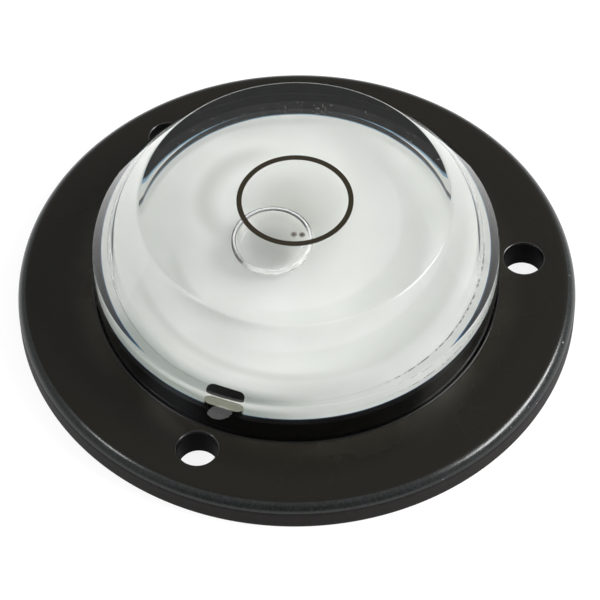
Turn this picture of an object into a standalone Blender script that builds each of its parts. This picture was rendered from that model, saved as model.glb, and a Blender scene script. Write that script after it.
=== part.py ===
"""Bullseye level: a clear round vial standing in a flat black flange with three screw holes.

The origin is the middle of the flange's underside and +Z is up. The vial is a thick clear cap
over a white base. Spirit fills the chamber between them, apart from one bubble under the
domed roof, and a black ring in the cap's top face is the target for the bubble.
"""
import math

import bmesh
import bpy
from mathutils import Matrix, Vector

MM = 0.001

# Vial: its radius sets every radius below
VIAL_RADIUS = 21.75 * MM

# Flange: a flat round plate with a raised lip round its bore
FLANGE_BORDER_WIDTH = 8.35 * MM
FLANGE_THICKNESS = 3.4 * MM
FLANGE_TOP_ROUNDING = 1.4 * MM
FLANGE_FOOT_CHAMFER = 0.25 * MM
LEDGE_THICKNESS = 1.2 * MM
LEDGE_WIDTH = 2.4 * MM
LIP_HEIGHT = 1.3 * MM
LIP_WIDTH = 1.0 * MM
CAP_GROOVE_DEPTH = 0.6 * MM

# Screw holes
HOLE_COUNT = 3
HOLE_TO_VIAL = 2.95 * MM
HOLE_RADIUS = 2.1 * MM
HOLE_CHAMFER = 0.2 * MM
FIRST_HOLE_ANGLE = math.radians(4.6)

# Vial base: a white moulded disc with a raised middle that shows under the spirit
BASE_RIM_WIDTH = 1.1 * MM
BASE_EDGE_CHAMFER = 0.3 * MM
BASE_RECESS_DEPTH = 0.6 * MM
BASE_RECESS_MARGIN = 2.5 * MM

# Vial cap: a thick clear block with a wall, a conical shoulder and a flat top
CAP_SKIRT_WIDTH = 2.25 * MM
CAP_WALL_DRAFT = 0.1 * MM
CAP_WALL_HEIGHT = 6.0 * MM
CAP_SHOULDER_WIDTH = 5.15 * MM
CAP_HEIGHT = 13.0 * MM
CAP_TOP_ROUNDING = 0.6 * MM
CAP_SHOULDER_ROUNDING = 0.5 * MM
CHAMBER_HEIGHT = 4.3 * MM
ROOF_CURVATURE = 100.0 * MM

# Bubble: a flattened drop of air under the roof, off centre as the level lies
BUBBLE_RADIUS = 4.2 * MM
BUBBLE_DEPTH = 2.8 * MM
BUBBLE_CENTRE_X = -2.5 * MM
BUBBLE_CENTRE_Y = -1.25 * MM

# Target ring, inlaid in a groove in the cap's top
TARGET_RADIUS = 6.15 * MM
TARGET_WIDTH = 0.55 * MM
TARGET_THICKNESS = 0.4 * MM

# Filler plug, standing in a pocket in the underside of the cap
PLUG_LENGTH = 3.8 * MM
PLUG_RISE = 1.0 * MM
PLUG_POCKET_WALL = 0.4 * MM
PLUG_ROUNDING_SHARE = 0.4
PLUG_ANGLE = math.radians(-113.0)

# Clearances
SEAT_GAP = 0.3 * MM
SIDE_GAP = 0.2 * MM
INLAY_GAP = 0.1 * MM

# How finely round shapes are divided
TURN_STEPS = 96
HOLE_STEPS = 32
CORNER_STEPS = 3
ROUND_EDGE_STEPS = 6
ROOF_STEPS = 5
BUBBLE_STEPS = 32
MERGE_DISTANCE = 0.00001
SHARP_ANGLE = math.radians(25.0)
CUTTER_MARGIN = 1.0 * MM

# Radii that follow from the sizes above, from the flange's edge inwards
FLANGE_RADIUS = VIAL_RADIUS + FLANGE_BORDER_WIDTH
HOLE_CIRCLE_RADIUS = VIAL_RADIUS + HOLE_TO_VIAL
CAP_GROOVE_RADIUS = VIAL_RADIUS + SIDE_GAP
CAP_WALL_RADIUS = VIAL_RADIUS - CAP_WALL_DRAFT
SKIRT_BORE_RADIUS = VIAL_RADIUS - CAP_SKIRT_WIDTH
LIP_RADIUS = SKIRT_BORE_RADIUS - SIDE_GAP
BORE_RADIUS = LIP_RADIUS - LIP_WIDTH
BASE_RADIUS = BORE_RADIUS - SIDE_GAP
CAP_TOP_RADIUS = CAP_WALL_RADIUS - CAP_SHOULDER_WIDTH
CHAMBER_RADIUS = BASE_RADIUS - BASE_RIM_WIDTH
SPIGOT_RADIUS = CHAMBER_RADIUS - SEAT_GAP
WINDOW_RADIUS = BASE_RADIUS - LEDGE_WIDTH
BASE_RECESS_RADIUS = WINDOW_RADIUS - BASE_RECESS_MARGIN

# Heights that follow from the sizes above
BASE_FOOT = LEDGE_THICKNESS + SEAT_GAP
CAP_FOOT = FLANGE_THICKNESS - CAP_GROOVE_DEPTH + SEAT_GAP
CAP_FACE = FLANGE_THICKNESS + LIP_HEIGHT + SEAT_GAP
BASE_RIM_TOP = CAP_FACE - SEAT_GAP
ROOF_APEX = CAP_FACE + CHAMBER_HEIGHT
CAP_WALL_TOP = FLANGE_THICKNESS + CAP_WALL_HEIGHT
CAP_TOP = FLANGE_THICKNESS + CAP_HEIGHT

# Filler plug and its pocket, between the chamber and the skirt
POCKET_RADIUS = (CHAMBER_RADIUS + SKIRT_BORE_RADIUS) / 2
POCKET_WIDTH = SKIRT_BORE_RADIUS - CHAMBER_RADIUS - 2 * PLUG_POCKET_WALL
POCKET_LENGTH = PLUG_LENGTH + 2 * INLAY_GAP
POCKET_TOP = CAP_FACE + PLUG_RISE + INLAY_GAP
PLUG_WIDTH = POCKET_WIDTH - 2 * INLAY_GAP
PLUG_FOOT = BASE_RIM_TOP + INLAY_GAP
PLUG_HEIGHT = CAP_FACE + PLUG_RISE - PLUG_FOOT


def clear_scene():
    """Remove whatever objects the file opened with."""
    for old in list(bpy.data.objects):
        bpy.data.objects.remove(old)


def new_collection(name):
    """Make a collection in the scene."""
    collection = bpy.data.collections.new(name)
    bpy.context.scene.collection.children.link(collection)
    return collection


def new_material(name, colour, roughness, metallic=0.0, transmission=0.0, ior=1.5):
    """Make a Principled material."""
    material = bpy.data.materials.new(name)
    material.use_nodes = True
    shader = material.node_tree.nodes["Principled BSDF"]
    shader.inputs["Base Color"].default_value = (*colour, 1.0)
    shader.inputs["Roughness"].default_value = roughness
    shader.inputs["Metallic"].default_value = metallic
    shader.inputs["Transmission Weight"].default_value = transmission
    shader.inputs["IOR"].default_value = ior
    return material


def add_object(name, mesh, collection, material=None):
    """Put a mesh in the scene under a plain name."""
    mesh.name = name
    thing = bpy.data.objects.new(name, mesh)
    if material is not None:
        mesh.materials.append(material)
    collection.objects.link(thing)
    return thing


def rounded(corners, steps=CORNER_STEPS):
    """Turn corners (radius, height, rounding) into outline points, with each rounding an arc."""
    points = []
    last = len(corners) - 1
    for index, (r, z, rounding) in enumerate(corners):
        here = Vector((r, z))
        if rounding == 0 or index in (0, last):
            points.append(here)
            continue
        before = (Vector(corners[index - 1][:2]) - here).normalized()
        after = (Vector(corners[index + 1][:2]) - here).normalized()
        half_angle = before.angle(after) / 2
        centre = here + (before + after).normalized() * (rounding / math.sin(half_angle))
        start = here + before * (rounding / math.tan(half_angle)) - centre
        end = here + after * (rounding / math.tan(half_angle)) - centre
        sweep = start.angle_signed(end)
        for step in range(steps + 1):
            turn = Matrix.Rotation(-sweep * step / steps, 2)
            points.append(centre + turn @ start)
    return points


def roof_points(radius, lowered):
    """Points of the domed roof, from its edge at a radius up to the axis."""
    points = []
    for step in range(ROOF_STEPS + 1):
        r = radius * (1 - step / ROOF_STEPS)
        drop = ROOF_CURVATURE - math.sqrt(ROOF_CURVATURE ** 2 - r ** 2)
        points.append((r, ROOF_APEX - lowered - drop))
    return points


def turned(name, points, collection, material=None, steps=TURN_STEPS, is_ring=False):
    """Turn an outline, given down its outer side, about the Z axis."""
    mesh = bpy.data.meshes.new(name)
    edges = [(i, i + 1) for i in range(len(points) - 1)]
    if is_ring:
        edges.append((len(points) - 1, 0))
    mesh.from_pydata([(p[0], 0.0, p[1]) for p in points], edges, [])
    thing = add_object(name, mesh, collection, material)
    screw = thing.modifiers.new("Turn", "SCREW")
    screw.steps = steps
    screw.render_steps = steps
    screw.use_merge_vertices = True
    screw.merge_threshold = MERGE_DISTANCE
    screw.use_normal_calculate = False
    return thing


def cut(thing, cutter):
    """Cut one object away from another, and put the cutter out of sight."""
    boolean = thing.modifiers.new("Cut " + cutter.name, "BOOLEAN")
    boolean.operation = "DIFFERENCE"
    boolean.solver = "EXACT"
    boolean.object = cutter
    cutter.hide_render = True
    cutter.display_type = "WIRE"


def finish(thing):
    """Apply an object's modifiers, and shade it smooth between its sharp edges."""
    graph = bpy.context.evaluated_depsgraph_get()
    rough = thing.data
    mesh = bpy.data.meshes.new_from_object(thing.evaluated_get(graph))
    thing.modifiers.clear()
    thing.data = mesh
    bpy.data.meshes.remove(rough)
    mesh.name = thing.name
    mesh.shade_smooth()
    mesh.set_sharp_from_angle(angle=SHARP_ANGLE)


def filler_block(name, size, foot, collection, material=None):
    """A box turned to lie along the cap's edge at the filler, with its upright edges rounded."""
    shape = bmesh.new()
    bmesh.ops.create_cube(shape, size=1.0)
    bmesh.ops.scale(shape, vec=size, verts=shape.verts)
    upright = [e for e in shape.edges if e.verts[0].co.z * e.verts[1].co.z < 0]
    bmesh.ops.bevel(shape, geom=upright, offset=size[0] * PLUG_ROUNDING_SHARE,
                    segments=ROUND_EDGE_STEPS, profile=0.5, affect="EDGES")
    mesh = bpy.data.meshes.new(name)
    shape.to_mesh(mesh)
    shape.free()
    thing = add_object(name, mesh, collection, material)
    thing.location = (POCKET_RADIUS * math.cos(PLUG_ANGLE), POCKET_RADIUS * math.sin(PLUG_ANGLE),
                      foot + size[2] / 2)
    thing.rotation_euler = (0.0, 0.0, PLUG_ANGLE)
    return thing


def make_flange(parts, cutters, material):
    """Black plate with a stepped bore, a lip that the cap fits over, and three screw holes."""
    outline = rounded([
        (LIP_RADIUS, FLANGE_THICKNESS + LIP_HEIGHT, 0),
        (LIP_RADIUS, FLANGE_THICKNESS - CAP_GROOVE_DEPTH, 0),
        (CAP_GROOVE_RADIUS, FLANGE_THICKNESS - CAP_GROOVE_DEPTH, 0),
        (CAP_GROOVE_RADIUS, FLANGE_THICKNESS, 0),
        (FLANGE_RADIUS, FLANGE_THICKNESS, FLANGE_TOP_ROUNDING),
        (FLANGE_RADIUS, FLANGE_FOOT_CHAMFER, 0),
        (FLANGE_RADIUS - FLANGE_FOOT_CHAMFER, 0.0, 0),
        (WINDOW_RADIUS, 0.0, 0),
        (WINDOW_RADIUS, LEDGE_THICKNESS, 0),
        (BORE_RADIUS, LEDGE_THICKNESS, 0),
        (BORE_RADIUS, FLANGE_THICKNESS + LIP_HEIGHT, 0),
    ], ROUND_EDGE_STEPS)
    flange = turned("mounting_flange", outline, parts, material, is_ring=True)
    hole_outline = [
        (0.0, FLANGE_THICKNESS + CUTTER_MARGIN),
        (HOLE_RADIUS + HOLE_CHAMFER + CUTTER_MARGIN, FLANGE_THICKNESS + CUTTER_MARGIN),
        (HOLE_RADIUS, FLANGE_THICKNESS - HOLE_CHAMFER),
        (HOLE_RADIUS, -CUTTER_MARGIN),
        (0.0, -CUTTER_MARGIN),
    ]
    for number in range(HOLE_COUNT):
        angle = FIRST_HOLE_ANGLE + number * 2 * math.pi / HOLE_COUNT
        drill = turned(f"screw_hole_cutter_{number + 1}", hole_outline, cutters, steps=HOLE_STEPS)
        drill.location = (HOLE_CIRCLE_RADIUS * math.cos(angle),
                          HOLE_CIRCLE_RADIUS * math.sin(angle), 0.0)
        cut(flange, drill)
    finish(flange)


def make_base(parts, material):
    """White disc: a spigot closes the chamber, and its rim carries the cap."""
    outline = [
        (0.0, CAP_FACE),
        (SPIGOT_RADIUS, CAP_FACE),
        (SPIGOT_RADIUS, BASE_RIM_TOP),
        (BASE_RADIUS, BASE_RIM_TOP),
        (BASE_RADIUS, BASE_FOOT + BASE_EDGE_CHAMFER),
        (BASE_RADIUS - BASE_EDGE_CHAMFER, BASE_FOOT),
        (BASE_RECESS_RADIUS, BASE_FOOT),
        (BASE_RECESS_RADIUS, BASE_FOOT + BASE_RECESS_DEPTH),
        (0.0, BASE_FOOT + BASE_RECESS_DEPTH),
    ]
    finish(turned("vial_base", outline, parts, material))


def make_plug(parts, material):
    """Black stopper standing on the base's rim and the flange's lip, in the cap's pocket."""
    size = (PLUG_WIDTH, PLUG_LENGTH, PLUG_HEIGHT)
    finish(filler_block("filler_plug", size, PLUG_FOOT, parts, material))


def make_cap(parts, cutters, material):
    """Clear block: flat top with the target groove, conical shoulder, wall, skirt and chamber."""
    groove_floor = CAP_TOP - TARGET_THICKNESS - SEAT_GAP
    groove_inner = TARGET_RADIUS - TARGET_WIDTH - INLAY_GAP
    groove_outer = TARGET_RADIUS + INLAY_GAP
    outline = rounded([
        (0.0, CAP_TOP, 0),
        (groove_inner, CAP_TOP, 0),
        (groove_inner, groove_floor, 0),
        (groove_outer, groove_floor, 0),
        (groove_outer, CAP_TOP, 0),
        (CAP_TOP_RADIUS, CAP_TOP, CAP_TOP_ROUNDING),
        (CAP_WALL_RADIUS, CAP_WALL_TOP, CAP_SHOULDER_ROUNDING),
        (VIAL_RADIUS, CAP_FOOT, 0),
        (SKIRT_BORE_RADIUS, CAP_FOOT, 0),
        (SKIRT_BORE_RADIUS, CAP_FACE, 0),
        (CHAMBER_RADIUS, CAP_FACE, 0),
    ])
    outline += roof_points(CHAMBER_RADIUS, 0.0)
    cap = turned("vial_cap", outline, parts, material)
    pocket_foot = CAP_FACE - CUTTER_MARGIN
    size = (POCKET_WIDTH, POCKET_LENGTH, POCKET_TOP - pocket_foot)
    cut(cap, filler_block("filler_pocket_cutter", size, pocket_foot, cutters))
    finish(cap)


def make_spirit(parts, cutters, material):
    """Spirit that fills the chamber, hollowed at its top by the bubble."""
    radius = CHAMBER_RADIUS - SEAT_GAP
    outline = list(reversed(roof_points(radius, SEAT_GAP)))
    outline += [(radius, CAP_FACE + SEAT_GAP), (0.0, CAP_FACE + SEAT_GAP)]
    spirit = turned("spirit_fill", outline, parts, material)
    shape = bmesh.new()
    bmesh.ops.create_uvsphere(shape, u_segments=BUBBLE_STEPS, v_segments=BUBBLE_STEPS // 2, radius=1.0)
    bmesh.ops.scale(shape, vec=(BUBBLE_RADIUS, BUBBLE_RADIUS, BUBBLE_DEPTH / 2), verts=shape.verts)
    mesh = bpy.data.meshes.new("bubble_cutter")
    shape.to_mesh(mesh)
    shape.free()
    bubble = add_object("bubble_cutter", mesh, cutters)
    offset = math.hypot(BUBBLE_CENTRE_X, BUBBLE_CENTRE_Y)
    roof_above = ROOF_APEX - ROOF_CURVATURE + math.sqrt(ROOF_CURVATURE ** 2 - offset ** 2)
    bubble.location = (BUBBLE_CENTRE_X, BUBBLE_CENTRE_Y, roof_above - BUBBLE_DEPTH / 2)
    cut(spirit, bubble)
    finish(spirit)


def make_target(parts, material):
    """Black ring level with the cap's top face."""
    inner = TARGET_RADIUS - TARGET_WIDTH
    outline = [
        (inner, CAP_TOP),
        (TARGET_RADIUS, CAP_TOP),
        (TARGET_RADIUS, CAP_TOP - TARGET_THICKNESS),
        (inner, CAP_TOP - TARGET_THICKNESS),
    ]
    finish(turned("target_ring", outline, parts, material, is_ring=True))


def build():
    """Make every part of the level."""
    clear_scene()
    parts = new_collection("bullseye_level")
    cutters = new_collection("bullseye_level_cutters")
    black_plastic = new_material("black_plastic", (0.018, 0.017, 0.016), 0.35)
    white_plastic = new_material("white_plastic", (0.78, 0.79, 0.75), 0.45)
    clear_acrylic = new_material("clear_acrylic", (1.0, 1.0, 1.0), 0.02, transmission=1.0, ior=1.49)
    spirit = new_material("spirit", (0.98, 1.0, 0.98), 0.0, transmission=1.0, ior=1.36)
    black_ink = new_material("black_ink", (0.04, 0.03, 0.025), 0.4)
    black_rubber = new_material("black_rubber", (0.012, 0.012, 0.012), 0.6)
    make_flange(parts, cutters, black_plastic)
    make_base(parts, white_plastic)
    make_plug(parts, black_rubber)
    make_cap(parts, cutters, clear_acrylic)
    make_spirit(parts, cutters, spirit)
    make_target(parts, black_ink)


build()
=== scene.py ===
# %% [markdown]
# # A bullseye level
# A bullseye level is a small round spirit level. A thick clear vial stands in a flat black flange,
# and a bubble under the vial's domed roof moves to the target ring when the surface is level both ways.
# The CAD model gives every place and size. This lesson makes the fine surfaces and the finishes over it.

import math

import bmesh
import bpy
from mathutils import Matrix, Vector


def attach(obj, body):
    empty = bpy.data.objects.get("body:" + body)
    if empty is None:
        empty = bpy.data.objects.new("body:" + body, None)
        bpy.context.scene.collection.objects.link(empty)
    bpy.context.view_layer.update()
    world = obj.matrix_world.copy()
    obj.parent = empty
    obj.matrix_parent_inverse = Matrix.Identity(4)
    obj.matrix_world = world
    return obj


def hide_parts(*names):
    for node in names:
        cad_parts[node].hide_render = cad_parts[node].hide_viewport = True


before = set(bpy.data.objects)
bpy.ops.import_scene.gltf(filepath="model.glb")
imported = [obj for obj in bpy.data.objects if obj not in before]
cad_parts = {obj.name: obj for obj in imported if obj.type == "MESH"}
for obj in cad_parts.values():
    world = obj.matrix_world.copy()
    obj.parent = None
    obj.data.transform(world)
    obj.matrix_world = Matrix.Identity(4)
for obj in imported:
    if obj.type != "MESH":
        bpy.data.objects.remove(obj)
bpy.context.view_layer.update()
print("nodes:", sorted(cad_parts))

# %% [markdown]
# The drawing of a turned part is a list of corners: how far each lies from the axis, and how high.
# The sizes are millimetres on the drawing and metres in Blender, so one value joins the two.

# %% Sizes on the drawing, in millimetres
MM = 0.001
FLANGE_RADIUS, FLANGE_TOP, FLANGE_ROUNDING, FLANGE_CHAMFER = 30.1, 3.4, 1.4, 0.25
LEDGE_RADIUS, LEDGE_TOP = 15.7, 1.2
BORE_RADIUS, LIP_RADIUS, LIP_TOP = 18.3, 19.3, 4.7
SEAT_RADIUS, SEAT_FLOOR = 21.78, 2.8
HOLE_CIRCLE, HOLE_RADIUS, HOLE_CHAMFER = 24.7, 2.1, 0.2
HOLE_ANGLES = [math.radians(4.6 + 120 * k) for k in range(3)]

BASE_RADIUS, BASE_FOOT, BASE_RIM_TOP = 18.1, 1.5, 4.7
HOLLOW_RADIUS, HOLLOW_DEPTH = 13.2, 0.6
BLOCK_RADIUS, BLOCK_FOOT, BLOCK_FACE, BLOCK_TOP = 21.75, 2.82, 5.0, 16.4
WALL_RADIUS, WALL_TOP, TOP_RADIUS = 21.65, 9.4, 16.5
SKIRT_BORE = 19.5
CHAMBER_RADIUS, ROOF_APEX, ROOF_CURVATURE = 17.0, 9.3, 100.0

RING_RADIUS, RING_WIDTH, GROOVE_DEPTH = 6.13, 0.54, 0.2
BUBBLE_CENTRE = Vector((-2.5, -1.25))
BUBBLE_RADIUS, BUBBLE_DEPTH = 4.33, 3.0
PLUG_ANGLE = math.radians(-113.0)
PLUG_INNER, PLUG_OUTER, PLUG_LENGTH, PLUG_TOP, PLUG_SLOPE = 17.4, 19.1, 3.9, 6.1, 0.18
PLUG_ROUNDING = 0.7
FIT = 0.02
print("flange", 2 * FLANGE_RADIUS, "mm across, vial", 2 * BLOCK_RADIUS, "mm across")

# %% [markdown]
# Every piece here but the plug is turned, so one helper does most of the work: it draws the corners as
# vertices, joins them with edges and spins them round the axis. A second helper rounds a corner
# afterwards with the bevel operator, which finds the ring of edges at that corner. Corners that lie
# close beside a rounding are support rings, which keep the flat face next to it shaded flat.

# %% Spin an outline round the axis
ROUND_STEPS = 256


def spin_outline(corners, closed=False, steps=ROUND_STEPS):
    """Spin corners (radius, height) in millimetres into a closed bmesh."""
    mesh = bmesh.new()
    points = [mesh.verts.new((r * MM, 0.0, z * MM)) for r, z in corners]
    lines = [mesh.edges.new(pair) for pair in zip(points, points[1:])]
    if closed:
        lines.append(mesh.edges.new((points[-1], points[0])))
    bmesh.ops.spin(mesh, geom=points + lines, cent=(0, 0, 0), axis=(0, 0, 1),
                   angle=2 * math.pi, steps=steps, use_merge=True, use_duplicate=False)
    bmesh.ops.remove_doubles(mesh, verts=mesh.verts, dist=0.0005 * MM)
    bmesh.ops.dissolve_degenerate(mesh, edges=mesh.edges, dist=0.0001 * MM)
    bmesh.ops.recalc_face_normals(mesh, faces=mesh.faces)
    return mesh


print("a full turn has", ROUND_STEPS, "steps")


# %% Round a corner of a turned shape
def round_corner(mesh, radius, height, setback, segments):
    """Bevel the ring of edges that lies at one corner of the outline."""
    near = 0.002 * MM

    def on_corner(vert):
        return (abs(math.hypot(vert.co.x, vert.co.y) - radius * MM) < near
                and abs(vert.co.z - height * MM) < near)

    ring = [e for e in mesh.edges if on_corner(e.verts[0]) and on_corner(e.verts[1])]
    bmesh.ops.bevel(mesh, geom=ring, offset=setback * MM, segments=segments,
                    profile=0.5, affect="EDGES", material=-1)
    print("rounded", len(ring), "edges by", setback, "mm")


# %% Make an object from a mesh
SHARP = math.radians(25)


def make_piece(name, mesh, materials):
    """Turn a bmesh into a smooth-shaded object at the origin, with its sharp edges kept sharp."""
    data = bpy.data.meshes.new(name)
    mesh.to_mesh(data)
    mesh.free()
    for material in materials:
        data.materials.append(material)
    data.shade_smooth()
    data.set_sharp_from_angle(angle=SHARP)
    piece = bpy.data.objects.new(name, data)
    bpy.context.scene.collection.objects.link(piece)
    print(name, len(data.polygons), "faces")
    return piece


# %% Cut shapes out of a piece
def cut_away(piece, cutters):
    """Cut other shapes out of a piece, apply the cuts, and remove the cutters."""
    for cutter in cutters:
        boolean = piece.modifiers.new(cutter.name, "BOOLEAN")
        boolean.operation = "DIFFERENCE"
        boolean.solver = "EXACT"
        boolean.object = cutter
    graph = bpy.context.evaluated_depsgraph_get()
    before = piece.data
    piece.data = bpy.data.meshes.new_from_object(piece.evaluated_get(graph))
    piece.modifiers.clear()
    bpy.data.meshes.remove(before)
    piece.data.name = piece.name
    piece.data.shade_smooth()
    piece.data.set_sharp_from_angle(angle=SHARP)
    for cutter in cutters:
        bpy.data.objects.remove(cutter)
    print(piece.name, len(piece.data.polygons), "faces after", len(cutters), "cuts")


# %% [markdown]
# A material is a small network of nodes. One helper adds a node and gives each of its sockets a value,
# or joins it to another node. Colours are picked as they look on a screen, as hex, and another helper
# turns them into the linear numbers that a shader works with.

# %% Colours as a shader reads them
def linear(hex_colour):
    """Turn an sRGB hex colour into linear red, green, blue and an alpha of 1."""
    parts = [int(hex_colour[i:i + 2], 16) / 255 for i in (0, 2, 4)]
    return [c / 12.92 if c <= 0.04045 else ((c + 0.055) / 1.055) ** 2.4 for c in parts] + [1.0]


print("mid grey on a screen is", round(linear("808080")[0], 3), "of full light")


# %% Add a node
def set_up(node, settings):
    """Give a node its settings. Each is a value, or the output of another node, which is joined to it."""
    for key, value in settings.items():
        if isinstance(value, bpy.types.NodeSocket):
            node.id_data.links.new(value, node.inputs[key])
        elif isinstance(key, int) or key in node.inputs:
            node.inputs[key].default_value = value
        else:
            setattr(node, key, value)


def add_node(tree, kind, settings, output=0):
    """Add a node with its settings, and return one of its outputs."""
    node = tree.nodes.new("ShaderNode" + kind)
    set_up(node, settings)
    return node.outputs[output]


def new_material(name):
    """Start a material: its tree, its Principled shader and the object's own coordinates."""
    material = bpy.data.materials.new(name)
    material.use_nodes = True
    tree = material.node_tree
    print("material", name)
    return material, tree, tree.nodes["Principled BSDF"], add_node(tree, "TexCoord", {}, "Object")


# %% [markdown]
# A finish rarely covers a whole face. Where a coat of colour lies is worked out in three steps: measure
# where a point of the surface is, fade that measure in or out over a stretch, and lay the coat there
# over what is below it.

# %% Where a coat of colour lies
def from_axis(tree, here):
    """How far a point lies from the level's axis, and its x, y and z, all in metres."""
    x, y, z = add_node(tree, "SeparateXYZ", {"Vector": here}).node.outputs
    flat = add_node(tree, "CombineXYZ", {"X": x, "Y": y})
    return add_node(tree, "VectorMath", {"operation": "LENGTH", 0: flat}, "Value"), x, y, z


def fade(tree, *stretches):
    """A smooth mask. Each stretch is a value, where it starts and ends, and if need be the amounts there
    in place of 0 and 1. Several stretches are multiplied."""
    product = None
    for value, start, end, *amounts in stretches:
        at_start, at_end = amounts or (0.0, 1.0)
        part = add_node(tree, "MapRange", {"interpolation_type": "SMOOTHSTEP", "Value": value,
                                           "From Min": start, "From Max": end,
                                           "To Min": at_start, "To Max": at_end})
        product = part if product is None else add_node(
            tree, "Math", {"operation": "MULTIPLY", 0: product, 1: part})
    return product


def lay_coats(tree, ground, *coats):
    """Lay coats over a ground colour. Each coat is where it lies, and its colour."""
    for where, coat in coats:
        first, second = [linear(c) if isinstance(c, str) else c for c in (ground, coat)]
        ground = add_node(tree, "Mix", {"data_type": "RGBA", 0: where, 6: first, 7: second}, 2)
    return ground


# %% [markdown]
# ## The black flange
# The flange is moulded ABS. ABS is tough and takes a gloss from a polished mould: a warm black with a
# slightly uneven sheen. Round the block's foot the black is painted lighter in clouds, as painted light
# where light through the block falls on the flange. The marks come from noise on the object's own
# coordinates, so that each has a real size.

# %% Moulded black ABS
def moulded_black_abs():
    material, tree, shader, here = new_material("moulded_black_abs")
    radius = from_axis(tree, here)[0]
    clouds = add_node(tree, "TexNoise", {"Vector": here, "Scale": 1 / (5 * MM), "Detail": 2.0})
    # Painted light: the black is laid lighter, in clouds, round the block's foot
    dust_and_painted_light = fade(tree, (radius, 21.9 * MM, 25.0 * MM, 1.0, 0.0), (clouds, 0.3, 0.7, 0.4, 0.9))
    # Flow marks about 8 mm across change the sheen a little
    flow = add_node(tree, "TexNoise", {"Vector": here, "Scale": 1 / (8 * MM), "Detail": 3.0})
    # Grain of about 0.3 mm is drawn as coarse as the render can show
    grain = add_node(tree, "TexNoise", {"Vector": here, "Scale": 1 / (0.3 * MM), "Detail": 3.0})
    bump = add_node(tree, "Bump", {"Strength": 0.02, "Distance": 0.03 * MM, "Height": grain})
    set_up(shader, {"Base Color": lay_coats(tree, "181611", (dust_and_painted_light, "28261f")),
                    "Roughness": fade(tree, (flow, 0.3, 0.7, 0.22, 0.28)),
                    "Specular IOR Level": 0.18, "Normal": bump})
    return material


black_abs = moulded_black_abs()

# %% [markdown]
# Hands polish the flange's rounded edge and rub its grain pale, and a few specks of dust stick to it.
# The grain's bluish tint is a painted sheen, for the bluish room light that the edge mirrors. It is the
# same plastic, so only the grain's contrast and the gloss change.

# %% Worn edge of the flange, with painted sheen
def worn_edge_abs_painted_sheen():
    material, tree, shader, here = new_material("worn_edge_abs_painted_sheen")
    grain = add_node(tree, "TexNoise", {"Vector": here, "Scale": 1 / (0.3 * MM), "Detail": 3.0,
                                        "Roughness": 0.6})
    rubbed = fade(tree, (grain, 0.2, 0.8))
    specks = add_node(tree, "TexNoise", {"Vector": here, "Scale": 1 / (0.45 * MM), "Detail": 1.0})
    wear = add_node(tree, "TexNoise", {"Vector": here, "Scale": 1 / (2 * MM), "Detail": 3.0})
    bump = add_node(tree, "Bump", {"Strength": 0.15, "Distance": 0.03 * MM, "Height": grain})
    # Grain rubbed pale by wear, in a bluish tone that is painted sheen; the light specks are dust
    colour = lay_coats(tree, "14130f", (rubbed, "24282a"), (fade(tree, (specks, 0.76, 0.82)), "7c8084"))
    set_up(shader, {"Base Color": colour, "Roughness": fade(tree, (wear, 0.3, 0.7, 0.18, 0.26)),
                    "Specular IOR Level": 0.38, "Normal": bump})
    return material


edge_abs = worn_edge_abs_painted_sheen()

# %% [markdown]
# Where the plastic was rubbed, drilled or smeared with cement its tone is mottled, in patches about
# 0.6 mm across. One function makes these finishes, and they differ in colour, gloss and roughness.
# The drilled bore is laid darker than the moulding, as painted shade inside the holes.

# %% Cut and rubbed black ABS
def dull_black_abs(name, hex_colour, gloss, roughness=0.55):
    material, tree, shader, here = new_material(name)
    marks = add_node(tree, "TexNoise", {"Vector": here, "Scale": 1 / (0.6 * MM), "Detail": 4.0})
    tone = add_node(tree, "MapRange", {"Value": marks, "From Min": 0.3, "From Max": 0.7,
                                       "To Min": 0.75, "To Max": 1.25})
    colour = add_node(tree, "VectorMath", {"operation": "SCALE", 0: linear(hex_colour)[:3], "Scale": tone})
    set_up(shader, {"Base Color": colour, "Roughness": roughness, "Specular IOR Level": gloss})
    return material


side_abs = dull_black_abs("rubbed_black_abs", "1c1918", 0.10)
# Painted shade: the holes' bores are nearly black, darker than the flat
painted_shade_bore_abs = dull_black_abs("drilled_abs_painted_shade", "0a090b", 0.03)
rim_abs = dull_black_abs("polished_corner_abs", "121110", 0.6, 0.18)
fillet_abs = dull_black_abs("cement_at_the_foot", "11100f", 0.3, 0.22)

# %% [markdown]
# The plate is a stepped ring. Its bore holds the white base, its lip stands up into the clear block,
# and a shallow seat round the lip takes the block's foot. Cement rises a little up the block there, as a
# small hollow fillet.

# %% Turn the flange
FILLET_WIDTH = 0.22
CEMENT_FILLET = [(0.0, FILLET_WIDTH), (0.015, 0.13), (0.045, 0.065), (0.09, 0.025), (0.15, 0.005),
                 (FILLET_WIDTH, 0.0)]
SUPPORT = 0.08
FOOT_BAND = 0.5
flange_mesh = spin_outline(
    [(LIP_RADIUS, LIP_TOP), (LIP_RADIUS, SEAT_FLOOR), (SEAT_RADIUS, SEAT_FLOOR)]
    + [(SEAT_RADIUS + out, FLANGE_TOP + up) for out, up in CEMENT_FILLET]
    + [(SEAT_RADIUS + 0.4, FLANGE_TOP), (FLANGE_RADIUS - FLANGE_ROUNDING - SUPPORT, FLANGE_TOP),
       (FLANGE_RADIUS, FLANGE_TOP), (FLANGE_RADIUS, FLANGE_TOP - FLANGE_ROUNDING - SUPPORT),
       (FLANGE_RADIUS, FOOT_BAND), (FLANGE_RADIUS, 0.0), (FLANGE_RADIUS - FOOT_BAND, 0.0),
       (LEDGE_RADIUS, 0.0), (LEDGE_RADIUS, LEDGE_TOP), (BORE_RADIUS, LEDGE_TOP), (BORE_RADIUS, LIP_TOP)],
    closed=True)
round_corner(flange_mesh, FLANGE_RADIUS, FLANGE_TOP, FLANGE_ROUNDING, 12)
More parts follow.
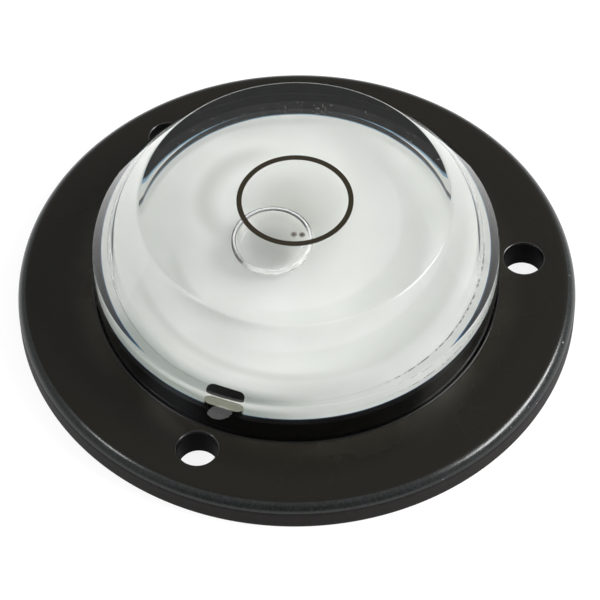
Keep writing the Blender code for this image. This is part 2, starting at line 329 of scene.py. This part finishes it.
round_corner(flange_mesh, FLANGE_RADIUS, 0.0, FLANGE_CHAMFER, 3)
round_corner(flange_mesh, LIP_RADIUS, LIP_TOP, 0.15, 3)

# %% [markdown]
# The flange is one moulding with several finishes, so each face gets the number of its material from
# where the face lies. Faces that no rule names keep the first number, the flat's.

# %% Give each face of the flange its finish
SIDE, BORE, HOLE_RIM, EDGE, FILLET = range(1, 6)
SIDE_DEPTH, SIDE_DROP, EDGE_DEPTH = 0.6, 1.1, 0.85
for face in flange_mesh.faces:
    middle = face.calc_center_median() / MM
    radius = math.hypot(middle.x, middle.y)
    if radius > FLANGE_RADIUS - SIDE_DEPTH and middle.z < FLANGE_TOP - SIDE_DROP:
        face.material_index = SIDE
    elif radius > FLANGE_RADIUS - EDGE_DEPTH:
        face.material_index = EDGE
    elif SEAT_RADIUS - 0.01 < radius < SEAT_RADIUS + FILLET_WIDTH and middle.z > FLANGE_TOP:
        face.material_index = FILLET
flange_body = make_piece("flange_body", flange_mesh,
                         [black_abs, side_abs, painted_shade_bore_abs, rim_abs, edge_abs, fillet_abs])

# %% [markdown]
# The screw holes are drilled afterwards with boolean cutters. Each cutter is a turned shape too, so that
# its hole gets a small rounded rim, which is polished and catches the light.

# %% Drill the three screw holes
DRILL_STEPS, OVERSHOOT = 72, 1.0
drills = []
hole_middles = [Vector((math.cos(angle), math.sin(angle), 0.0)) * HOLE_CIRCLE * MM for angle in HOLE_ANGLES]
turns = [math.radians(t) for t in range(0, 91, 15)]
rim = [(HOLE_RADIUS + HOLE_CHAMFER * (1 - math.sin(turn)), FLANGE_TOP - HOLE_CHAMFER * (1 - math.cos(turn)))
       for turn in turns]
for number, place in enumerate(hole_middles):
    drill_mesh = spin_outline(
        [(0.0, FLANGE_TOP + OVERSHOOT), (HOLE_RADIUS + HOLE_CHAMFER, FLANGE_TOP + OVERSHOOT)]
        + rim + [(HOLE_RADIUS, -OVERSHOOT), (0.0, -OVERSHOOT)], steps=DRILL_STEPS)
    bmesh.ops.translate(drill_mesh, vec=place, verts=drill_mesh.verts)
    drills.append(make_piece("drill_" + str(number), drill_mesh, []))
cut_away(flange_body, drills)

# %% Finish the holes, and place the flange
LEVEL_NORMAL = 0.995
for face in flange_body.data.polygons:
    reach = min((face.center.xy - place.xy).length for place in hole_middles)
    if reach < (HOLE_RADIUS + HOLE_CHAMFER) * MM and abs(face.normal.z) < LEVEL_NORMAL:
        face.material_index = BORE if face.center.z < (FLANGE_TOP - HOLE_CHAMFER) * MM else HOLE_RIM
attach(flange_body, "root")
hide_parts("mounting_flange")

# %% [markdown]
# ## The white base
# The base is the bright background that the bubble is read against. It is moulded off-white ABS, with
# a raised middle that plugs the chamber from below. Under the spirit it looks a little grey-green. Light
# that the domed block bends onto it is painted in: a brighter round area of painted light, a soft grey
# ring of painted shade near the rim, and a grey arc of painted shade on the left.

# %% Painted light and shade on the white moulding
def painted_light_on_base(tree, here):
    radius, x, y, _ = from_axis(tree, here)
    from_painted_light, from_arc = [
        add_node(tree, "VectorMath", {"operation": "DISTANCE", 0: here, 1: middle}, "Value")
        for middle in ((-1.0 * MM, 3.0 * MM, BLOCK_FACE * MM), (-3.0 * MM, 5.5 * MM, BLOCK_FACE * MM))]
    # The painted bright area is round; its border fades out on the left and at the back
    outside_painted_light = fade(tree, (x, -8 * MM, 1 * MM), (y, 7 * MM, 14 * MM, 1.0, 0.35),
                  (from_painted_light, 12.1 * MM, 12.8 * MM))
    # The painted grey ring is strongest at the left front, and painted light brightens the rim at the right
    # front
    ring = fade(tree, (radius, 12.2 * MM, 13.1 * MM), (radius, 13.2 * MM, 14.3 * MM, 0.4, 0.0),
                (y, -4 * MM, 1 * MM, 1.0, 0.0), (x, -2 * MM, 6 * MM, 1.0, 0.15))
    painted_light_at_rim = fade(tree, (radius, 13.4 * MM, 14.6 * MM), (x, 0.0, 6 * MM, 0.0, 0.8),
                 (y, -2 * MM, 4 * MM, 1.0, 0.0))
    # A grey arc of painted shade on the left
    painted_shade_arc = fade(tree, (from_arc, 6.8 * MM, 8.6 * MM, 0.55, 0.0), (from_arc, 4.6 * MM, 6.8 * MM),
               (x, -6 * MM, 0.0, 1.0, 0.2), (y, -1 * MM, 4 * MM))
    return lay_coats(tree, "f8f9f4", (outside_painted_light, "f1f3ed"), (ring, "cdd0c8"), (painted_light_at_rim, "fdfefa"),
                     (painted_shade_arc, "c6c9c0"))


# %% [markdown]
# Painted shade lies behind the target and under the bubble, as round spots with soft borders. Each
# spot is its middle, the radius up to which it is full, the radius where it ends, how strong it is, and
# its colour. Over them come clouds about 8 mm long, then painted shade at the left of the rim and at
# its left front.

# %% Painted shade on the white moulding
PAINTED_SHADE_SPOTS = [(3.0, 2.2, 0.0, 11.0, 0.42, "c6c9c0"), (-0.3, 5.2, 2.5, 7.5, 0.42, "c2c5bc"),
           (-0.7, 6.4, 0.2, 3.6, 0.4, "b2b1a6"), (0.7, 3.2, 0.2, 3.6, 0.35, "b2b1a6"),
           (-1.6, -2.2, 0.2, 2.6, 0.12, "b8a48a")]


def add_painted_shade(tree, here, colour):
    for middle_x, middle_y, full, end, strength, tone in PAINTED_SHADE_SPOTS:
        middle = (middle_x * MM, middle_y * MM, BLOCK_FACE * MM)
        reach = add_node(tree, "VectorMath", {"operation": "DISTANCE", 0: here, 1: middle}, "Value")
        spot = fade(tree, (reach, full * MM, end * MM, strength, 0.0))
        colour = lay_coats(tree, colour, (spot, tone))
    radius, x, y, _ = from_axis(tree, here)
    clouds = add_node(tree, "TexNoise", {"Vector": here, "Scale": 1 / (8 * MM), "Detail": 2.0})
    # Painted shade at the left front of the rim
    corner = fade(tree, (x, -5 * MM, 3 * MM, 1.0, 0.0), (y, -9 * MM, -3 * MM, 0.75, 0.0),
                  (radius, 15.8 * MM, 17.1 * MM))
    # Clouds of random tone, then painted shade towards the left
    return lay_coats(tree, colour, (fade(tree, (clouds, 0.35, 0.7, 0.0, 0.3)), "e0e3db"),
                     (fade(tree, (x, -15 * MM, -9 * MM, 0.25, 0.0)), "bcc2ba"), (corner, "aab4ac"))


# %% [markdown]
# Dark cement in the joint round the chamber shows as short dashes at the right front. They come from a
# noise with a narrow border, cut to a ring 0.1 mm wide.

# %% Moulded white ABS
def cement_dashes(tree, here):
    radius, x, y, _ = from_axis(tree, here)
    broken = add_node(tree, "TexNoise", {"Vector": here, "Scale": 1 / (0.45 * MM), "Detail": 3.0})
    return fade(tree, (broken, 0.47, 0.53), (x, 7 * MM, 11 * MM), (y, -1 * MM, 3 * MM, 1.0, 0.0),
                (radius, 16.98 * MM, 17.02 * MM), (radius, 17.08 * MM, 17.14 * MM, 1.0, 0.0))


def moulded_white_abs():
    material, tree, shader, here = new_material("moulded_white_abs")
    colour = add_painted_shade(tree, here, painted_light_on_base(tree, here))
    grain = add_node(tree, "TexNoise", {"Vector": here, "Scale": 1 / (0.4 * MM), "Detail": 2.0})
    bump = add_node(tree, "Bump", {"Strength": 0.05, "Distance": 0.02 * MM, "Height": grain})
    set_up(shader, {"Base Color": lay_coats(tree, colour, (cement_dashes(tree, here), "2c2a26")),
                    "Roughness": 0.45, "Normal": bump})
    return material


white_abs = moulded_white_abs()

# %% [markdown]
# The base is turned like the flange. Its foot is hollow, as a moulding's is, so that it cools evenly.

# %% Turn the base
base_mesh = spin_outline([
    (0.0, BLOCK_FACE), (CHAMBER_RADIUS - 0.1, BLOCK_FACE), (CHAMBER_RADIUS - FIT, BLOCK_FACE),
    (CHAMBER_RADIUS - FIT, BASE_RIM_TOP), (BASE_RADIUS, BASE_RIM_TOP), (BASE_RADIUS, BASE_FOOT),
    (HOLLOW_RADIUS, BASE_FOOT), (HOLLOW_RADIUS, BASE_FOOT + HOLLOW_DEPTH), (0.0, BASE_FOOT + HOLLOW_DEPTH)])
round_corner(base_mesh, BASE_RADIUS, BASE_FOOT, 0.3, 3)
base_disc = make_piece("base_disc", base_mesh, [white_abs])
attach(base_disc, "root")
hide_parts("vial_base")

# %% [markdown]
# ## The filler plug
# The vial is filled through a hole beside the chamber, which a small rubber stopper closes. It stands
# in a pocket in the block's underside. Plug and pocket are the same shape, a little apart in size, so one
# function makes both: a cube, scaled, with rounded ends and a sloping top.

# %% A block at the filler
def block_at_plug(name, inner, outer, length, low, high, materials):
    """A block with rounded ends, beside the chamber at the filler."""
    mesh = bmesh.new()
    bmesh.ops.create_cube(mesh, size=1.0)
    bmesh.ops.scale(mesh, vec=Vector((outer - inner, length, high - low)) * MM, verts=mesh.verts)
    upright = [e for e in mesh.edges if e.verts[0].co.z * e.verts[1].co.z < 0]
    bmesh.ops.bevel(mesh, geom=upright, offset=PLUG_ROUNDING * MM, segments=8,
                    profile=0.5, affect="EDGES", material=-1)
    middle = Vector(((inner + outer) / 2, 0.0, (low + high) / 2)) * MM
    bmesh.ops.translate(mesh, vec=middle, verts=mesh.verts)
    for vert in mesh.verts:
        if vert.co.z > middle.z:
            vert.co.z -= (vert.co.x - inner * MM) * PLUG_SLOPE
    bmesh.ops.rotate(mesh, cent=(0, 0, 0), matrix=Matrix.Rotation(PLUG_ANGLE, 3, "Z"), verts=mesh.verts)
    return make_piece(name, mesh, materials)


# %% [markdown]
# The stopper is black rubber: matt and nearly black, with fine dust.

# %% Black rubber stopper
def stopper_rubber():
    material, tree, shader, here = new_material("stopper_rubber")
    dust_and_painted_light = add_node(tree, "TexNoise", {"Vector": here, "Scale": 1 / (0.3 * MM), "Detail": 3.0})
    set_up(shader, {"Base Color": lay_coats(tree, "08080a", (dust_and_painted_light, "151413")),
                    "Roughness": 0.6, "Specular IOR Level": 0.1})
    return material


stopper = block_at_plug("filler_stopper", PLUG_INNER + FIT, PLUG_OUTER - FIT, PLUG_LENGTH - 2 * FIT,
                        BLOCK_FACE - 0.25, PLUG_TOP - FIT, [stopper_rubber()])
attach(stopper, "root")
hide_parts("filler_plug")

# %% [markdown]
# ## The clear block
# The block is cast and polished acrylic, whose index of refraction is 1.49. A ray that leaves it into
# air bends strongly, but one that leaves it into spirit hardly bends, so the chamber's faces get the
# ratio of the two indices. Where the block is cemented to the base or the flange there is no air to
# reflect in, so those faces show the plastic behind them directly.

# %% Polished acrylic, and acrylic that spirit wets
ACRYLIC_INDEX, SPIRIT_INDEX = 1.49, 1.36


def clear_material(name, index, tint, polish):
    """A clear surface; polish is the strength of a faint unevenness about 3 mm across."""
    material, tree, shader, here = new_material(name)
    ripple = add_node(tree, "TexNoise", {"Vector": here, "Scale": 1 / (3 * MM), "Detail": 1.0})
    bump = add_node(tree, "Bump", {"Strength": polish, "Distance": 0.01 * MM, "Height": ripple})
    set_up(shader, {"Base Color": linear(tint), "Roughness": 0.0, "Transmission Weight": 1.0,
                    "IOR": index, "Normal": bump})
    return material, tree, shader, here


# %% [markdown]
# Two brown specks of sediment lie against the roof, each about 0.5 mm across. They are opaque, so the
# same mask darkens the colour and takes the transmission away.

# %% Sediment against the roof
SPECKS = ((-0.18, -1.33), (0.67, -1.4))


def add_sediment(tree, shader, here):
    specks = 0.0
    for x, y in SPECKS:
        middle = (x * MM, y * MM, ROOF_APEX * MM)
        reach = add_node(tree, "VectorMath", {"operation": "DISTANCE", 0: here, 1: middle}, "Value")
        spot = fade(tree, (reach, 0.12 * MM, 0.42 * MM, 1.0, 0.0))
        specks = add_node(tree, "Math", {"operation": "ADD", 0: spot, 1: specks})
    clear = add_node(tree, "Math", {"operation": "SUBTRACT", 0: 1.0, 1: specks})
    set_up(shader, {"Base Color": lay_coats(tree, "ffffff", (specks, "4e4230")),
                    "Transmission Weight": clear})


acrylic = clear_material("polished_acrylic", ACRYLIC_INDEX, "fdfefe", 0.05)[0]
wetted, wetted_tree, wetted_shader, on_roof = clear_material(
    "wetted_acrylic", ACRYLIC_INDEX / SPIRIT_INDEX, "ffffff", 0.05)
add_sediment(wetted_tree, wetted_shader, on_roof)

# %% [markdown]
# The block's outline runs from its top, down over the shoulder and the wall, back inside over the skirt,
# and up into the chamber. The roof is part of a sphere, so its corners come from the sphere's formula.
# Support rings lie along the slope beside each rounded edge.

# %% Turn the block
def roof_corners(radius, lowered):
    """Corners of the domed roof from its edge at a radius to the axis."""
    count = 12
    corners = []
    for step in range(count + 1):
        r = radius * (1 - step / count)
        sagitta = math.sqrt(ROOF_CURVATURE ** 2 - r ** 2)
        corners.append((r, ROOF_APEX - lowered - ROOF_CURVATURE + sagitta))
    return corners


JOINT_WIDTH = 0.26
groove_in, groove_out = RING_RADIUS - RING_WIDTH, RING_RADIUS
shoulder = Vector((WALL_RADIUS - TOP_RADIUS, WALL_TOP - BLOCK_TOP)).normalized()
roof = roof_corners(CHAMBER_RADIUS, 0.0)
block_mesh = spin_outline([
    (0.0, BLOCK_TOP), (groove_in, BLOCK_TOP), (groove_in, BLOCK_TOP - GROOVE_DEPTH),
    (groove_out, BLOCK_TOP - GROOVE_DEPTH), (groove_out, BLOCK_TOP),
    (TOP_RADIUS - 0.6, BLOCK_TOP), (TOP_RADIUS, BLOCK_TOP),
    (TOP_RADIUS + 0.6 * shoulder.x, BLOCK_TOP + 0.6 * shoulder.y),
    (WALL_RADIUS - 0.5 * shoulder.x, WALL_TOP - 0.5 * shoulder.y), (WALL_RADIUS, WALL_TOP),
    (WALL_RADIUS + 0.01, WALL_TOP - 0.5), (BLOCK_RADIUS, BLOCK_FOOT), (SKIRT_BORE, BLOCK_FOOT),
    (SKIRT_BORE, BLOCK_FACE), (BASE_RADIUS + JOINT_WIDTH, BLOCK_FACE), (BASE_RADIUS, BLOCK_FACE),
    (CHAMBER_RADIUS, BLOCK_FACE)] + roof)
round_corner(block_mesh, TOP_RADIUS, BLOCK_TOP, 0.2, 6)
round_corner(block_mesh, WALL_RADIUS, WALL_TOP, 0.25, 5)
round_corner(block_mesh, BLOCK_RADIUS, BLOCK_FOOT, 0.1, 3)
round_corner(block_mesh, CHAMBER_RADIUS, roof[0][1], 0.15, 3)

# %% [markdown]
# What a clear face looks like depends on what touches it, so the block's faces are sorted by where they
# lie: in air, in spirit, on the white base, on the black flange, in the target groove or at the joint.

# %% Sort the block's faces by what lies behind them
POLISHED, WETTED, ON_WHITE, ON_BLACK, INKED, AT_JOINT, POCKET = range(7)
NEAR, SLACK = 0.01, 0.05
for face in block_mesh.faces:
    middle = face.calc_center_median() / MM
    radius = math.hypot(middle.x, middle.y)
    in_groove = groove_in - SLACK < radius < groove_out + SLACK
    face.material_index = POLISHED
    if in_groove and BLOCK_TOP - GROOVE_DEPTH - SLACK < middle.z < BLOCK_TOP - NEAR:
        face.material_index = INKED
    elif radius < CHAMBER_RADIUS + NEAR and BLOCK_FACE < middle.z < ROOF_APEX + SLACK:
        face.material_index = WETTED
    elif abs(middle.z - BLOCK_FACE) < NEAR:
        face.material_index = ON_WHITE if radius < BASE_RADIUS else ON_BLACK
        if BASE_RADIUS < radius < BASE_RADIUS + JOINT_WIDTH:
            face.material_index = AT_JOINT
    elif middle.z < BLOCK_FACE and radius < BLOCK_RADIUS - 0.15:
        face.material_index = ON_BLACK
print("faces on white:", sum(f.material_index == ON_WHITE for f in block_mesh.faces))

# %% [markdown]
# The target ring is a fine groove filled with dark brown-black paint, level with the top. The paint
# itself is a thin ring, and the groove's walls show the paint from inside the block.

# %% Dark target paint
def target_paint():
    material, tree, shader, here = new_material("target_paint")
    grain = add_node(tree, "TexNoise", {"Vector": here, "Scale": 1 / (0.3 * MM), "Detail": 2.0})
    set_up(shader, {"Base Color": lay_coats(tree, "221d14", (grain, "2e281b")),
                    "Roughness": 0.5, "Specular IOR Level": 0.15})
    return material


paint = target_paint()

# %% [markdown]
# Through the cement the flange's plastic looks nearly black. At the back fine dust lies over the lip.
# Two lighter patches in the cement, at the right front and at the left front, are painted light where the
# side lamps' light falls through the block.

# %% Flange plastic seen through the cement
PAINTED_LIGHT_PATCHES = ((14.5, -13.0, "3b3a36"), (-12.5, -15.0, "282a2d"))


def cemented_black():
    material, tree, shader, here = new_material("cemented_black")
    radius, _, y, _ = from_axis(tree, here)
    lip = ((radius, 19.45 * MM, 19.55 * MM, 1.0, 0.0), (y, 2 * MM, 6 * MM))
    clouds = add_node(tree, "TexNoise", {"Vector": here, "Scale": 1 / (2.0 * MM), "Detail": 3.0})
    dust_and_painted_light = add_node(tree, "TexNoise", {"Vector": here, "Scale": 1 / (0.4 * MM), "Detail": 2.0})
    colour = lay_coats(tree, "060508", (fade(tree, *lip, (clouds, 0.3, 0.7, 0.3, 0.8)), "2c2b29"))
    # Painted light: two lighter patches where the lamps' light reaches the cement
    for middle_x, middle_y, patch_tone in PAINTED_LIGHT_PATCHES:
        middle = (middle_x * MM, middle_y * MM, SEAT_FLOOR * MM)
        reach = add_node(tree, "VectorMath", {"operation": "DISTANCE", 0: here, 1: middle}, "Value")
        colour = lay_coats(tree, colour, (fade(tree, (reach, 1.5 * MM, 5.0 * MM, 1.0, 0.0)), patch_tone))
    colour = lay_coats(tree, colour, (fade(tree, *lip, (dust_and_painted_light, 0.66, 0.72)), "8a8a84"))
    set_up(shader, {"Base Color": colour, "Roughness": 0.6, "Specular IOR Level": 0.1})
    return material


# %% [markdown]
# Round the base the joint is filled with cement. The block's prism splits its light, so the joint shows
# a blue line, pale on its outer side at the back and dark at the front.

# %% Cement in the joint round the base
def cement_line():
    material, tree, shader, here = new_material("cement_in_the_joint")
    radius, _, y, _ = from_axis(tree, here)
    inner, width = BASE_RADIUS * MM, JOINT_WIDTH * MM
    clouds = add_node(tree, "TexNoise", {"Vector": here, "Scale": 1 / (2.5 * MM), "Detail": 2.0})
    front = lay_coats(tree, "3c84b0", (fade(tree, (radius, inner, inner + 0.7 * width)), "07162a"))
    behind = lay_coats(tree, "9cc4dc", (fade(tree, (radius, inner + 0.4 * width, inner + width)), "262d33"))
    colour = lay_coats(tree, front, (fade(tree, (y, 2 * MM, 10 * MM)), behind),
                       (fade(tree, (clouds, 0.35, 0.65, 0.0, 0.4)), "0a1219"))
    set_up(shader, {"Base Color": colour, "Roughness": 0.6})
    return material


# %% [markdown]
# The pocket's walls are acrylic against air, with a black stopper close behind. Seen steeply they show
# the stopper, and seen flatly they mirror the room. Fresnel says how flatly a face is seen.

# %% Walls of the plug's pocket
def pocket_wall():
    material, tree, shader, here = new_material("pocket_wall")
    flatness = add_node(tree, "Fresnel", {"IOR": ACRYLIC_INDEX})
    mirror = fade(tree, (flatness, 0.35, 0.9))
    grime = add_node(tree, "TexNoise", {"Vector": here, "Scale": 1 / (0.5 * MM), "Detail": 2.0})
    colour = lay_coats(tree, "060607", (fade(tree, (grime, 0.3, 0.7)), "141210"), (mirror, "aeae9e"))
    set_up(shader, {"Base Color": colour, "Metallic": mirror,
                    "Roughness": fade(tree, (mirror, 0.0, 1.0, 0.7, 0.08)), "Specular IOR Level": 0.0})
    return material


# %% [markdown]
# The pocket is cut with the plug's own shape, a little larger. The faces that the cut leaves are found
# by turning each face's middle back to where the plug would lie along the x axis.

# %% Make the block, and cut the plug's pocket
clear_block = make_piece("clear_block", block_mesh, [
    acrylic, wetted, white_abs, cemented_black(), paint, cement_line(), pocket_wall()])
pocket = block_at_plug("pocket", PLUG_INNER, PLUG_OUTER, PLUG_LENGTH, BLOCK_FACE - 0.2, PLUG_TOP, [acrylic])
cut_away(clear_block, [pocket])
for face in clear_block.data.polygons:
    inside = Matrix.Rotation(-PLUG_ANGLE, 3, "Z") @ face.center / MM
    if (PLUG_INNER - NEAR < inside.x < PLUG_OUTER + NEAR and abs(inside.y) < PLUG_LENGTH / 2 + NEAR
            and BLOCK_FACE + 2 * SLACK < inside.z < PLUG_TOP + NEAR):
        face.material_index = POCKET
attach(clear_block, "root")
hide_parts("vial_cap")

# %% [markdown]
# The paint is a ring of four corners. It stops 0.01 mm short of the groove's walls, so that no two faces
# lie in the same place.

# %% Lay the target ring in its groove
RING_FIT = 0.01
line_in, line_out = groove_in + RING_FIT, groove_out - RING_FIT
line_floor = BLOCK_TOP - GROOVE_DEPTH + RING_FIT
ring_mesh = spin_outline([(line_in, BLOCK_TOP), (line_out, BLOCK_TOP), (line_out, line_floor),
                          (line_in, line_floor)], closed=True)
target_line = make_piece("target_line", ring_mesh, [paint])
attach(target_line, "root")
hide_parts("target_ring")

# %% [markdown]
# ## The spirit and its bubble
# The block's chamber faces already bend light as acrylic against spirit, so the liquid's own outside
# is left fully clear. Only the bubble is a real change, from spirit to air. At its far and left side a
# fine dark line along its upper rim is painted in, a painted reflection of the black flange, and it
# lies higher up and a little further in at the back.

# %% Painted dark line round the bubble
LINE_SIDE = (-0.53, 0.85, 0.0)


def add_painted_dark_rim(tree, shader, here):
    middle = (BUBBLE_CENTRE.x * MM, BUBBLE_CENTRE.y * MM, 0.0)
    from_middle = add_node(tree, "VectorMath", {"operation": "SUBTRACT", 0: here, 1: middle})
    across = add_node(tree, "VectorMath", {"operation": "DOT_PRODUCT", 0: from_middle, 1: LINE_SIDE},
                      "Value")
    reach, _, y, z = from_axis(tree, from_middle)
    lean = add_node(tree, "Math", {"operation": "MULTIPLY", 0: 0.04, 1: y})
    outward = add_node(tree, "Math", {"operation": "ADD", 0: reach, 1: lean})
    rise = add_node(tree, "Math", {"operation": "MULTIPLY", 0: 0.17, 1: y})
    height = add_node(tree, "Math", {"operation": "SUBTRACT", 0: z, 1: rise})
    line = fade(tree, (across, -2.2 * MM, 0.0),
                (outward, (BUBBLE_RADIUS - 0.23) * MM, (BUBBLE_RADIUS - 0.12) * MM, 0.0, 0.9),
                (height, (ROOF_APEX - 1.7) * MM, (ROOF_APEX - 1.5) * MM))
    # Painted reflection: a dark diffuse shade is mixed in along the rim
    dark = add_node(tree, "BsdfDiffuse", {"Color": linear("3c3a36")})
    both = add_node(tree, "MixShader", {0: line, 1: shader.outputs["BSDF"], 2: dark})
    tree.links.new(both, tree.nodes["Material Output"].inputs["Surface"])


bubble_wall, bubble_tree, bubble_shader, on_bubble = clear_material(
    "spirit_against_air", SPIRIT_INDEX, "ffffff", 0.0)
add_painted_dark_rim(bubble_tree, bubble_shader, on_bubble)

# %% [markdown]
# The liquid has the chamber's outline, 0.02 mm inside it. Its outside has no alpha, so it isn't seen.

# %% Spirit
spirit_outside, _, spirit_shader, _ = new_material("spirit_against_acrylic")
set_up(spirit_shader, {"Alpha": 0.0})
spirit_radius, spirit_foot = CHAMBER_RADIUS - FIT, BLOCK_FACE + FIT
spirit_mesh = spin_outline(list(reversed(roof_corners(spirit_radius, FIT)))
                           + [(spirit_radius, spirit_foot), (0.0, spirit_foot)])

# %% [markdown]
# The bubble is flat where it presses against the roof and round at its side, as surface tension and
# buoyancy shape it. Its half outline is an oval whose sine and cosine are raised to powers below one,
# which makes it boxier. It is turned inside out, because the spirit lies outside it.

# %% Bubble
SIDE_POWER, FACE_POWER = 0.36, 0.7
HALF_OUTLINE_STEPS, BUBBLE_STEPS, UNDER_ROOF = 28, 128, 0.06


def bubble_outline():
    corners = []
    for step in range(HALF_OUTLINE_STEPS + 1):
        angle = math.pi * (0.5 - step / HALF_OUTLINE_STEPS)
        at_pole = step in (0, HALF_OUTLINE_STEPS)
        r = 0.0 if at_pole else BUBBLE_RADIUS * abs(math.cos(angle)) ** SIDE_POWER
        depth = BUBBLE_DEPTH / 2 * (abs(math.sin(angle)) ** FACE_POWER) * (1 if angle > 0 else -1)
        corners.append((r, depth))
    return corners


bubble_mesh = spin_outline(bubble_outline(), steps=BUBBLE_STEPS)
for vert in bubble_mesh.verts:
    vert.co.x += BUBBLE_CENTRE.x * MM
    vert.co.y += BUBBLE_CENTRE.y * MM
    reach = math.hypot(vert.co.x, vert.co.y) / MM
    roof_height = ROOF_APEX - ROOF_CURVATURE + math.sqrt(ROOF_CURVATURE ** 2 - reach ** 2)
    vert.co.z += (roof_height - UNDER_ROOF - BUBBLE_DEPTH / 2) * MM
bmesh.ops.reverse_faces(bubble_mesh, faces=bubble_mesh.faces)
for face in bubble_mesh.faces:
    face.material_index = 1

# %% [markdown]
# Both surfaces belong to the liquid, so they are joined into one mesh with two materials.

# %% Join the bubble to the spirit
bubble_data = bpy.data.meshes.new("bubble")
bubble_mesh.to_mesh(bubble_data)
bubble_mesh.free()
spirit_mesh.from_mesh(bubble_data)
bpy.data.meshes.remove(bubble_data)
spirit_body = make_piece("spirit_body", spirit_mesh, [spirit_outside, bubble_wall])
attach(spirit_body, "root")
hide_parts("spirit_fill")

# %% [markdown]
# ## The studio
# The level lies on a plain white floor. The floor glows for what looks straight at it, or sees it through
# glass or in a gloss, so that it stays white there, and it still takes the level's soft shadow.

# %% Floor
FLOOR_SIZE, FLOOR_DROP = 3.0, 0.00002
floor_mesh = bmesh.new()
bmesh.ops.create_grid(floor_mesh, x_segments=1, y_segments=1, size=FLOOR_SIZE / 2)
bmesh.ops.translate(floor_mesh, vec=(0, 0, -FLOOR_DROP), verts=floor_mesh.verts)
floor_material, floor_tree, floor_shader, _ = new_material("white_paper")
set_up(floor_shader, {"Base Color": (0.85, 0.85, 0.85, 1.0), "Roughness": 0.9, "Specular IOR Level": 0.0})
rays = add_node(floor_tree, "LightPath", {}).node.outputs
seen = rays["Is Camera Ray"]
for ray in ("Is Glossy Ray", "Is Transmission Ray"):
    seen = add_node(floor_tree, "Math", {"operation": "MAXIMUM", 0: seen, 1: rays[ray]})
glow = add_node(floor_tree, "Emission", {"Strength": 1.0, "Color": (0.86, 0.86, 0.86, 1.0)})
shade = add_node(floor_tree, "BsdfDiffuse", {"Color": (0.21, 0.21, 0.21, 1.0)})
both = add_node(floor_tree, "AddShader", {0: glow, 1: shade})
paper = add_node(floor_tree, "MixShader", {0: seen, 1: floor_shader.outputs["BSDF"], 2: both})
floor_tree.links.new(paper, floor_tree.nodes["Material Output"].inputs["Surface"])
floor = make_piece("floor", floor_mesh, [floor_material])

# %% [markdown]
# Two soft boxes stand left and right, as their reflections on the flange's rounded edge show. Both face
# a point inside the vial.

# %% Lamps
LAMP_AIM = Vector((0, 0, 0.008))


def soft_box(name, place, size, watts):
    """A rectangular lamp that faces the level."""
    lamp = bpy.data.lights.new(name, "AREA")
    lamp.shape = "RECTANGLE"
    lamp.size, lamp.size_y = size
    lamp.energy = watts
    lamp_object = bpy.data.objects.new(name, lamp)
    lamp_object.location = place
    lamp_object.rotation_euler = (LAMP_AIM - Vector(place)).to_track_quat("-Z", "Y").to_euler()
    bpy.context.scene.collection.objects.link(lamp_object)
    print(name, watts, "W")


soft_box("left_box", (-0.416, -0.064, 0.480), (0.10, 0.08), 0.6)
soft_box("right_box", (0.480, 0.0, 0.422), (0.44, 0.14), 5.0)

# %% [markdown]
# A plain pale room fills in the rest. The side that the camera stands on is darker, and the fronts of
# the flange and the block mirror it.

# %% Room
room = bpy.data.worlds.new("pale_room")
room.use_nodes = True
room_tree = room.node_tree
direction = add_node(room_tree, "TexCoord", {}, "Generated")
room_side = add_node(room_tree, "SeparateXYZ", {"Vector": direction}, "Y")
set_up(room_tree.nodes["Background"], {"Color": (0.98, 1.0, 1.0, 1.0),
                                       "Strength": fade(room_tree, (room_side, -0.9, -0.45, 0.15, 0.62))})
bpy.context.scene.world = room
bpy.context.scene.view_settings.view_transform = "Standard"
print("world:", room.name)

# %% [markdown]
# The camera stands in front and above, about 0.33 m away, with a long lens. Its place was worked out
# from the outlines of the flange and the block. It looks at the middle of the flange's top, which lies
# a little off the middle of the picture, so the lens is shifted.

# %% Camera
PICTURE_PIXELS, FOCAL_PIXELS = 600, 3044.5
MIDDLE_ACROSS, MIDDLE_DOWN = 296.5, 276.978
ELEVATION, ROLL, DISTANCE = math.radians(51.613), math.radians(1.122), 0.328378
back = Vector((0, -math.cos(ELEVATION), math.sin(ELEVATION)))
level_right = Vector((1, 0, 0))
level_up = back.cross(level_right)
right = level_right * math.cos(ROLL) - level_up * math.sin(ROLL)
up = level_right * math.sin(ROLL) + level_up * math.cos(ROLL)
camera = bpy.data.cameras.new("camera")
camera.sensor_width = 36
camera.lens = FOCAL_PIXELS / PICTURE_PIXELS * camera.sensor_width
camera.shift_x = (PICTURE_PIXELS / 2 - MIDDLE_ACROSS) / PICTURE_PIXELS
camera.shift_y = (MIDDLE_DOWN - PICTURE_PIXELS / 2) / PICTURE_PIXELS
camera.clip_start = 0.01
camera_object = bpy.data.objects.new("camera", camera)
stand = Matrix((right, up, back)).transposed().to_4x4()
stand.translation = back * DISTANCE + Vector((0, 0, FLANGE_TOP * MM))
camera_object.matrix_world = stand
bpy.context.scene.collection.objects.link(camera_object)
bpy.context.scene.camera = camera_object
print("lens", round(camera.lens, 1), "mm")
